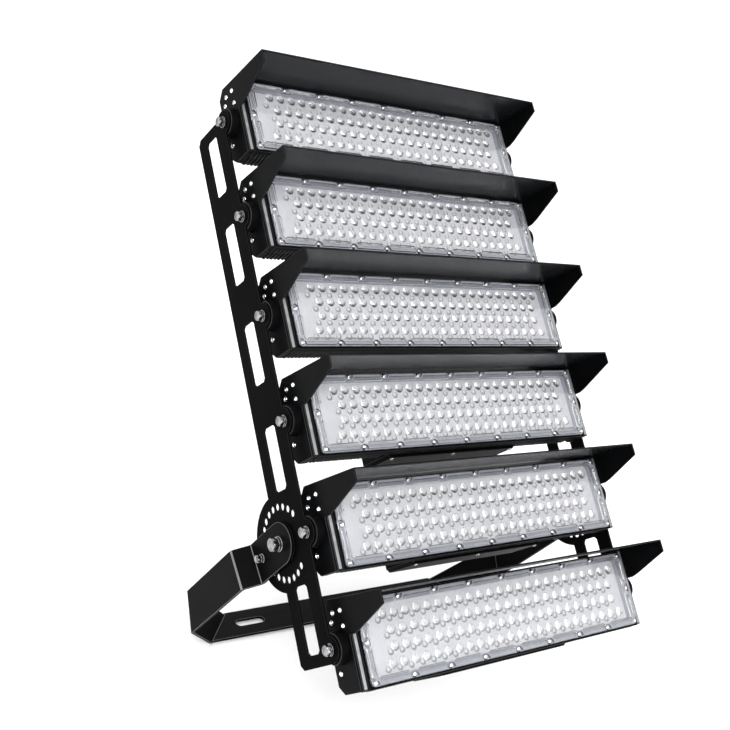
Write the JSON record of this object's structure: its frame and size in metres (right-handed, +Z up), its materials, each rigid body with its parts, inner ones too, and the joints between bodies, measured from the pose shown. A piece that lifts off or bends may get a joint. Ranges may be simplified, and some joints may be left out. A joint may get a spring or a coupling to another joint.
{
  "type": "led stadium floodlight",
  "caption": "High-power LED stadium floodlight: tilting lens modules under visors between slotted side rails, on a folded strap yoke that bolts to a mast.",
  "frame": {"origin": "centre of the underside of the yoke's web, the face that is bolted down", "axes": "+X to the right seen from the front, +Y to the rear, +Z up; the lamp looks towards -Y and up, leaning back"},
  "size_m": [0.62, 0.6864, 0.8307],
  "materials": {
    "sheet_metal": "satin black powder coat on folded sheet",
    "cast_housing": "satin black powder coat on cast aluminium",
    "lens": "clear moulded optical plastic",
    "led_board": "white solder mask",
    "steel": "bright stainless"
  },
  "bodies": {
    "yoke": {"yoke_bracket": "sheet_metal", "yoke_pivot_bolts": "steel", "yoke_pivot_nuts": "steel", "yoke_lock_bolts": "steel"},
    "frame": {"left_rail": "sheet_metal", "right_rail": "sheet_metal"},
    "module_1": {"housing_1": "cast_housing", "led_board_1": "led_board", "lens_1": "lens", "visor_1": "sheet_metal", "end_plates_1": "cast_housing", "tilt_bolts_1": "steel"},
    "module_2": {"housing_2": "cast_housing", "led_board_2": "led_board", "lens_2": "lens", "visor_2": "sheet_metal", "end_plates_2": "cast_housing", "tilt_bolts_2": "steel"},
    "module_3": {"housing_3": "cast_housing", "led_board_3": "led_board", "lens_3": "lens", "visor_3": "sheet_metal", "end_plates_3": "cast_housing", "tilt_bolts_3": "steel"},
    "module_4": {"housing_4": "cast_housing", "led_board_4": "led_board", "lens_4": "lens", "visor_4": "sheet_metal", "end_plates_4": "cast_housing", "tilt_bolts_4": "steel"},
    "module_5": {"housing_5": "cast_housing", "led_board_5": "led_board", "lens_5": "lens", "visor_5": "sheet_metal", "end_plates_5": "cast_housing", "tilt_bolts_5": "steel"},
    "module_6": {"housing_6": "cast_housing", "led_board_6": "led_board", "lens_6": "lens", "visor_6": "sheet_metal", "end_plates_6": "cast_housing", "tilt_bolts_6": "steel"}
  },
  "joints": [
    {"name": "frame_tilt", "type": "hinge", "parent": "yoke", "child": "frame", "pos_m": [0, -0.1464, 0.2741], "axis": [1, 0, 0], "range_deg": [-60, 105]},
    {"name": "module_1_tilt", "type": "hinge", "parent": "frame", "child": "module_1", "pos_m": [0, 0.25725, 0.71503], "axis": [1, 0, 0], "range_deg": [-25, 25]},
    {"name": "module_2_tilt", "type": "hinge", "parent": "frame", "child": "module_2", "pos_m": [0, 0.14652, 0.61638], "axis": [1, 0, 0], "range_deg": [-25, 25]},
    {"name": "module_3_tilt", "type": "hinge", "parent": "frame", "child": "module_3", "pos_m": [0, 0.03579, 0.51773], "axis": [1, 0, 0], "range_deg": [-25, 25]},
    {"name": "module_4_tilt", "type": "hinge", "parent": "frame", "child": "module_4", "pos_m": [0, -0.07493, 0.41907], "axis": [1, 0, 0], "range_deg": [-25, 25]},
    {"name": "module_5_tilt", "type": "hinge", "parent": "frame", "child": "module_5", "pos_m": [0, -0.18566, 0.32042], "axis": [1, 0, 0], "range_deg": [-25, 25]},
    {"name": "module_6_tilt", "type": "hinge", "parent": "frame", "child": "module_6", "pos_m": [0, -0.29639, 0.22176], "axis": [1, 0, 0], "range_deg": [-25, 25]}
  ]
}
